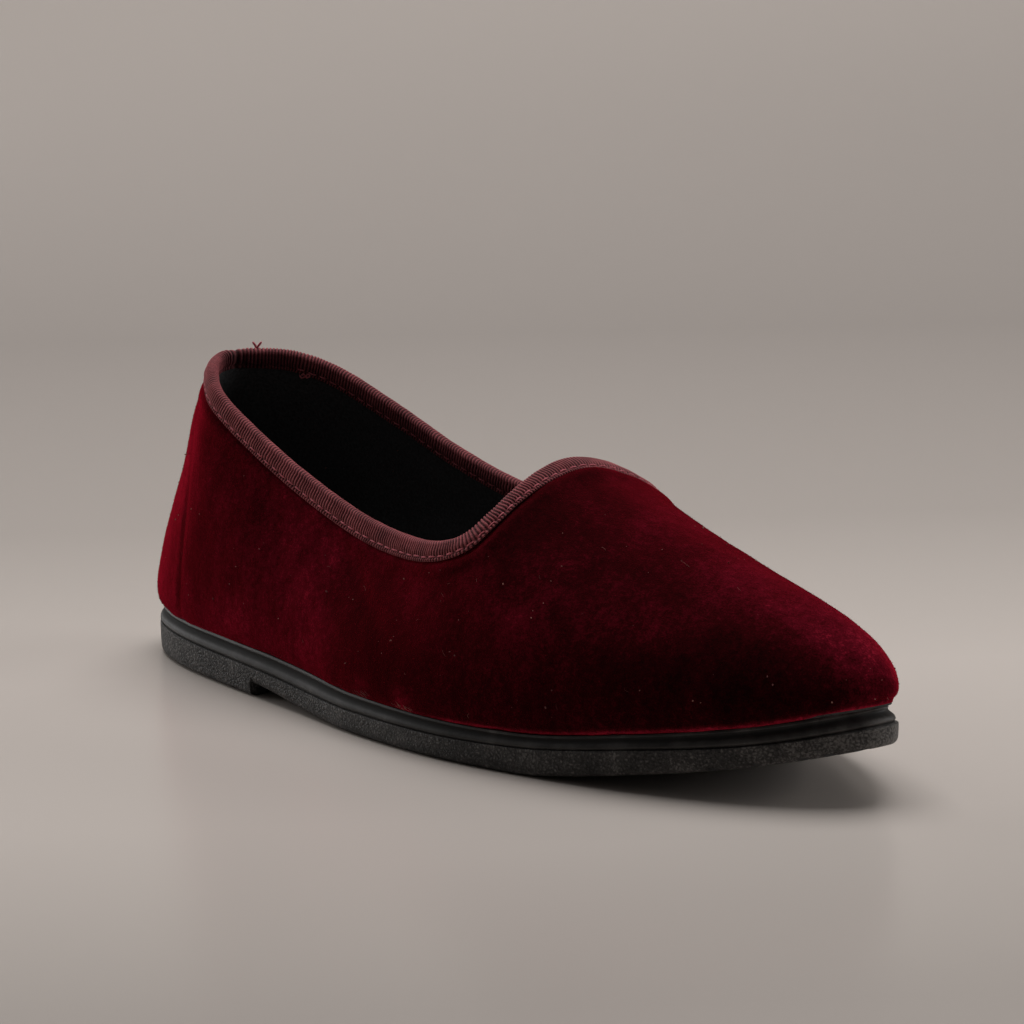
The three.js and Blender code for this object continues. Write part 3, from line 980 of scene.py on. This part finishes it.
def stitch_row(below, depth, direction, start):
    """Running stitches along the ribbon, each a short thread that dips in at both ends. The inner row
    is sunk out of sight where the ribbon puckers at the back."""
    count = int(COLLAR_LENGTH // STITCH_PITCH)
    step = COLLAR_LENGTH / count
    shares = np.linspace(-0.5, 0.5, 7)
    lift = np.array([-0.35, 0.02, 0.16, 0.2, 0.16, 0.02, -0.35])
    parts = []
    for k in range(count):
        middle = (k + start) * step
        if direction > 0 and abs(from_collar_place(middle, RIBBON_BACK)) < STITCHES_SUNK:
            continue
        wobble = 0.08 * math.sin(2.7 * k) * direction
        walk = middle + shares * STITCH_LENGTH
        around = around_at_collar(walk)
        v = below_edge(around, below * ribbon_share(walk) + wobble)
        points = in_wall(around, v, depth)[:, 0]
        out = -direction * surface_normal(around, v)[:, 0]
        parts.append(tube(points + out * (lift * 0.9)[:, None], STITCH_RADIUS))
    return parts


def loose_threads():
    """Forked end of thread at the back of the collar, and a small tangle inside it."""
    across = np.array(towards(CAMERA_AZIMUTH + 90, 0))
    around = around_at_collar(np.array([FORKED_END]))
    root = rib(around)[3][0] + rib(around)[4][0] * (CLEARANCE + RIBBON_THICKNESS - 0.3)
    parts = []
    for sideways in (-1.1, 1.3):
        moves = (0, 0, 0), 0.25 * sideways * across + [0, 0, 0.8], sideways * across + [0, 0, 2]
        parts.append(tube(resampled(root + np.array(moves), 9), 0.31))
    around = around_at_collar(np.array([TANGLE]))
    v = below_edge(around, RIBBON_INSIDE - 0.6)
    root = in_wall(around, v, WALL + 0.9)[0, 0]
    moves = ((-1.5, 0.3), (-0.9, -0.5), (0.1, -0.1), (0.9, 0.5),
             (1.3, 0), (0.6, -0.4), (-0.2, 0.5), (-0.7, 0.1))
    knot = np.array([sideways * across + [0, 0, up] for sideways, up in moves])
    knot += np.outer(0.08 * np.arange(len(moves)), [-0.3, -0.5, 0])
    parts.append(tube(resampled(root + knot, 26), 0.24))
    return parts


def make_stitches(material):
    off_wall = 0.42
    parts = stitch_row(RIBBON_OUTSIDE - STITCH_ABOVE_EDGE, -off_wall, direction=-1, start=0.2)
    parts += stitch_row(RIBBON_INSIDE - STITCH_ABOVE_EDGE, WALL + off_wall, direction=1, start=0.7)
    parts += loose_threads()
    points, faces = joined(parts)
    make_piece("ribbon_stitches", points, faces, material)


# Sole and insole

def make_sole(material):
    breast = [turn_at(HEEL_BREAST - BREAST_STEP), turn_at(HEEL_BREAST + BREAST_STEP)]
    around = even_ring(180, breast)
    x = outline(around)[:, 0]
    under = underside_at(x)
    toe = toe_share(split_turn(around)[0])
    heel = ease(x, HEEL_BREAST, HEEL_BREAST - 20)
    worn = 0.55 + 0.45 * ease(x, SOLE_LENGTH / 2, SOLE_LENGTH / 2 - HEEL_BREAST)
    up, down = SOLE_WALL["up"][:, None], SOLE_WALL["down"][:, None]
    heights = np.where(np.isnan(down), under + up, seat_at(x) - down * along_foot("band", x))
    sides = np.stack([SOLE_WALL[name] for name in ("out", "toe", "heel", "grain")], -1)
    count = 4 * (len(sides) - 1) + 1
    loops = []
    grains = []
    painted_shades = []
    for (out, at_toe, at_heel, grain), z in zip(resampled(sides, count), resampled(heights, count)):
        xy = beside(around, out - at_toe * toe - at_heel * heel)
        loops.append(np.column_stack([xy, np.maximum(z, under)]))
        grains.append(np.clip(grain, 0, 1) * worn)
        # Painted light on the toe and painted shade in the cove under the velvet
        painted_shades.append(0.4 * toe - 0.5 * np.clip(-grain, 0, 1))
    points, faces = stacked(loops)
    attributes = {"grain": np.concatenate(grains), "shade": np.concatenate(painted_shades)}
    piece = make_piece("rubber_sole", points, faces, material, "sole", sharp=40,
                       attributes=attributes)
    cut_tread(piece)


def cut_tread(sole):
    cutters = []
    places = [first + k * GROOVE_PITCH for first, count in GROOVE_RUNS for k in range(count)]
    for x in (*places, *TOE_NOTCHES):
        margin = GROOVE_MARGIN if x < GROOVE_RUNS_OUT else -GROOVE_MARGIN
        turn = turn_at(np.array([x]))
        low = -around_foot(OUTLINE, "outer", turn, True)[0] + margin
        high = around_foot(OUTLINE, "inner", turn, True)[0] - margin
        z = float(underside_at(np.array([x]))[0])
        cutters.append(block((x - GROOVE_WIDTH / 2, low, z - GROOVE_DEPTH),
                             (x + GROOVE_WIDTH / 2, high, z + GROOVE_DEPTH)))
    points, faces = joined(cutters)
    mesh = bpy.data.meshes.new("tread_cutter")
    mesh.from_pydata(to_frame(points).tolist(), [], faces)
    cutter = put("tread_cutter", mesh)
    modifier = sole.modifiers.new("tread", "BOOLEAN")
    modifier.operation = "DIFFERENCE"
    modifier.solver = "EXACT"
    modifier.object = cutter
    apply_modifiers(sole)
    bpy.data.objects.remove(cutter)
    bpy.data.meshes.remove(mesh)


def block(low, high):
    corners = list(itertools.product(*zip(low, high)))
    faces = [[0, 1, 3, 2], [4, 6, 7, 5], [0, 4, 5, 1], [2, 3, 7, 6], [0, 2, 6, 4], [1, 5, 7, 3]]
    return np.array(corners, float), faces


def apply_modifiers(piece):
    graph = bpy.context.evaluated_depsgraph_get()
    mesh = bpy.data.meshes.new_from_object(piece.evaluated_get(graph))
    old = piece.data
    piece.modifiers.clear()
    piece.data = mesh
    bpy.data.meshes.remove(old)


def make_insole(material):
    around = even_ring(120)
    edge = UPPER_INSET + WALL + 2 * CLEARANCE
    top = CLEARANCE + INSOLE_THICKNESS
    rows = ((0, CLEARANCE), (0, top - 0.8), (0.3, top - 0.25), (0.9, top),
            (4, top - 0.1), (9, top - 0.5), (14, top - 0.6))
    farthest_in = 0.9 * np.abs(outline(around)[:, 1])
    loops = []
    for further_in, up in rows:
        xy = beside(around, -(edge + np.minimum(further_in, farthest_in)))
        loops.append(np.column_stack([xy, seat_at(xy[:, 0]) + up]))
    points, faces = stacked(loops)
    make_piece("sock_insole", points, faces, material, "insole", sharp=50)


# Pile and lint

def blades(root, tip, half_width, out):
    """Points and faces of narrow triangles from roots to tips, each with its front turned outwards."""
    rng = np.random.default_rng(SEED + 7)
    across = unit(np.cross(tip - root, rng.normal(size=root.shape)))
    facing = np.sum(np.cross(across, tip - root) * out, axis=-1, keepdims=True)
    across *= np.where(facing < 0, -half_width, half_width)
    points = np.stack([root - across, root + across, tip], axis=1).reshape(-1, 3)
    return points, np.arange(len(points)).reshape(-1, 3)


def make_pile(outer, nap_and_painted_light, material):
    """Short pile standing on the velvet, leaning down and back as it was brushed."""
    rng = np.random.default_rng(SEED + 2)
    after = np.roll(outer, -1, axis=0)
    round_foot = (after - outer)[:, :-1]
    upwards = outer[:, 1:] - outer[:, :-1]
    normal = np.cross(round_foot, upwards)
    area = np.linalg.norm(normal, axis=-1)
    chosen = rng.choice(area.size, PILE_COUNT, p=(area / area.sum()).ravel())
    i, j = np.unravel_index(chosen, area.shape)
    a, b = rng.uniform(0, 1, (2, PILE_COUNT, 1))
    root = outer[i, j] + a * round_foot[i, j] + b * upwards[i, j]
    out = normal[i, j] / area[i, j][:, None]
    lean = PILE_LEAN + rng.normal(0, PILE_LEAN_SPREAD, (PILE_COUNT, 3))
    tip = root + unit(PILE_UPRIGHT * out + lean) * rng.uniform(*PILE_LENGTH, (PILE_COUNT, 1))
    points, faces = blades(root - 0.05 * out, tip, PILE_WIDTH / 2, out)
    tone = nap_and_painted_light[i, j] + rng.normal(PILE_PAINTED_LIGHT, PILE_TONE_SPREAD, PILE_COUNT)
    normals = np.repeat(unit(out + 0.3 * lean), 3, axis=0)
    make_piece("velvet_pile", points, faces, material,
               attributes={"nap_and_painted_light": np.repeat(tone, 3)}, normals=normals)


def make_fringe(material):
    """Short pile standing out where the velvet turns in at the sole."""
    rng = np.random.default_rng(SEED)
    around = np.sort(rng.uniform(0, 2 * math.pi, FRINGE_COUNT))
    v = rng.uniform(0.004, 0.035, (FRINGE_COUNT, 1))
    toe = toe_share(split_turn(around)[0])[:, None]
    normal = surface_normal(around, v)[:, 0]
    root = surface(around, v)[:, 0] - normal * (0.2 + TOE_TUCK * toe)
    lean = rng.normal(0, 0.35, (FRINGE_COUNT, 3)) + [0, 0, -0.2]
    tip = root + unit(normal + lean) * rng.uniform(*FRINGE_LENGTH, (FRINGE_COUNT, 1))
    tip[:, 2] = np.maximum(tip[:, 2], root[:, 2] - 0.25)
    points, faces = blades(root, tip, PILE_WIDTH / 2, normal)
    normals = np.repeat(normal, 3, axis=0)
    make_piece("pile_fringe", points, faces, material, normals=normals)


def make_lint(material):
    """Specks and short hairs on the velvet, specks on the lining, and frayed tufts at the sole."""
    rng = np.random.default_rng(SEED + 1)
    parts = []
    for depth, low, count in SPECKS:
        parts += [speck(rng, depth, low) for _ in range(count)]
    for _ in range(HAIR_COUNT):
        parts.append(hair(rng, rng.uniform(0, 2 * math.pi), rng.uniform(0.05, 0.85)))
    for around, count in TUFTS:
        parts += [frayed_end(rng, around + rng.normal(0, 0.014)) for _ in range(count)]
    points, faces = joined(parts)
    make_piece("lint", points, faces, material)


def speck(rng, depth, low):
    """Short bit of fluff anywhere on one side of the wall."""
    around = rng.uniform(0, 2 * math.pi, 1)
    v = rng.uniform(low, 0.86, (1, 1))
    centre = in_wall(around, v, depth)[0, 0]
    size = rng.uniform(*SPECK_SIZE)
    path = centre + np.outer(np.linspace(-1, 1, 4), rng.normal(0, 1, 3)) * size * 0.6
    return tube(path, size, sides=5, taper=0.5)


def hair(rng, around, v):
    """Short curled hair that lies on the velvet."""
    steps = 8
    step = rng.uniform(0.008, 0.026) / steps
    bend = rng.uniform(0, 2 * math.pi) + rng.normal(0, 1.2) * np.linspace(0, 1, steps)
    ways = around + np.cumsum(np.cos(bend)) * step
    ups = np.clip(v + np.cumsum(np.sin(bend)) * step * 1.6, 0.02, 0.9)
    path = in_wall(ways, ups[:, None], -0.32)[:, 0]
    return tube(path, rng.uniform(*HAIR_RADIUS), sides=4, taper=0.6)


def frayed_end(rng, around):
    """Thin end of yarn that stands up and back from the edge of the velvet at the sole."""
    at = np.array([around])
    v = np.array([[rng.uniform(0, 0.022)]])
    normal = surface_normal(at, v)[0, 0]
    root = surface(at, v)[0, 0] + 0.1 * normal
    reach = rng.uniform(*YARN_LENGTH)
    lean = np.array([-0.6, 0, 0.55]) + rng.normal(0, 0.14, 3)
    path = [root, root + reach * (0.4 * lean + 0.15 * normal), root + reach * (lean + 0.2 * normal)]
    return tube(resampled(path, 6), rng.uniform(*YARN_RADIUS), sides=4, taper=0.4)


# Studio

def towards(azimuth, elevation):
    """Direction from the slipper to a place at an azimuth and elevation in degrees."""
    a, e = math.radians(azimuth), math.radians(elevation)
    return Vector((math.sin(a) * math.cos(e), -math.cos(a) * math.cos(e), math.sin(e)))


def make_camera():
    back = towards(CAMERA_AZIMUTH, CAMERA_ELEVATION)
    data = bpy.data.cameras.new("camera")
    data.sensor_width = SENSOR
    data.lens = CAMERA_FOCUS_PIXELS / PICTURE_PIXELS * SENSOR
    data.clip_end = 50
    camera = put("camera", data)
    camera.location = Vector(to_frame(AIM_POINT)[0]) + back * CAMERA_DISTANCE
    tilt = math.atan((AIM_PIXEL[1] - PICTURE_PIXELS / 2) / CAMERA_FOCUS_PIXELS)
    swing = math.atan((AIM_PIXEL[0] - PICTURE_PIXELS / 2) / CAMERA_FOCUS_PIXELS)
    level = (-back).to_track_quat("-Z", "Y").to_matrix()
    turned = level @ Matrix.Rotation(tilt, 3, "X") @ Matrix.Rotation(swing, 3, "Y")
    camera.rotation_mode = "QUATERNION"
    camera.rotation_quaternion = turned.to_quaternion()
    bpy.context.scene.camera = camera


def make_studio():
    """Seamless sheet: a floor that turns up behind the slipper in a wide curve."""
    near = -2.6
    far = 2.6
    radius = 1.0
    height = 2.4
    half_width = 3.2
    profile = [(along, 0.0) for along in (near, -1.0, 0.0, 1.0, far)]
    for angle in np.linspace(0, math.pi / 2, 17)[1:]:
        profile.append((far + radius * math.sin(angle), radius * (1 - math.cos(angle))))
    profile.append((far + radius, radius + height))
    ahead = towards(CAMERA_AZIMUTH + 180, 0)
    right = towards(CAMERA_AZIMUTH + 90, 0)
    points = []
    for along, up in profile:
        for across in (-half_width, half_width):
            points.append(ahead * along + right * across + Vector((0, 0, up)))
    faces = [[2 * k, 2 * k + 1, 2 * k + 3, 2 * k + 2] for k in range(len(profile) - 1)]
    mesh = bpy.data.meshes.new("studio_sheet")
    mesh.from_pydata(points, [], faces)
    shade(mesh)
    mesh.materials.append(studio_material())
    sheet = put("studio_sheet", mesh)


def make_light(name, azimuth, elevation, distance, size, power, aim=(0, 0, 0)):
    """Soft box that stands at an azimuth from the camera and an elevation, turned to a point."""
    data = bpy.data.lights.new(name, "AREA")
    data.shape = "RECTANGLE"
    data.size, data.size_y = size
    data.energy = power
    light = put(name, data)
    light.location = towards(CAMERA_AZIMUTH + azimuth, elevation) * distance
    light.rotation_mode = "QUATERNION"
    light.rotation_quaternion = (Vector(aim) - light.location).to_track_quat("-Z", "Y")
    light.visible_camera = False


def make_lights():
    make_light("top_box", azimuth=180, elevation=74, distance=1.7, size=(1.5, 1.2), power=24)
    make_light("left_box", azimuth=-128, elevation=15, distance=1.6, size=(1.2, 0.6), power=7.5)
    make_light("right_box", azimuth=99, elevation=18, distance=2.1, size=(1.2, 0.75), power=12.6)
    on_backdrop = towards(CAMERA_AZIMUTH + 185, 0) * 2.7
    make_light("back_box", azimuth=185, elevation=34, distance=2.3, size=(2.6, 0.8), power=15,
               aim=on_backdrop)
    world = bpy.data.worlds.new("studio")
    world.use_nodes = True
    background = world.node_tree.nodes["Background"]
    background.inputs["Color"].default_value = (1.0, 0.96, 0.93, 1)
    background.inputs["Strength"].default_value = 0.07
    bpy.context.scene.world = world
    bpy.context.scene.view_settings.view_transform = "Standard"


make_camera()
make_studio()
make_lights()

lining = lining_material()
make_velvet(velvet_material())
make_lining(lining)
make_ribbon(ribbon_material())
make_stitches(thread_material())
make_sole(rubber_material())
make_insole(lining)
make_fringe(pile_material())
make_lint(lint_material())
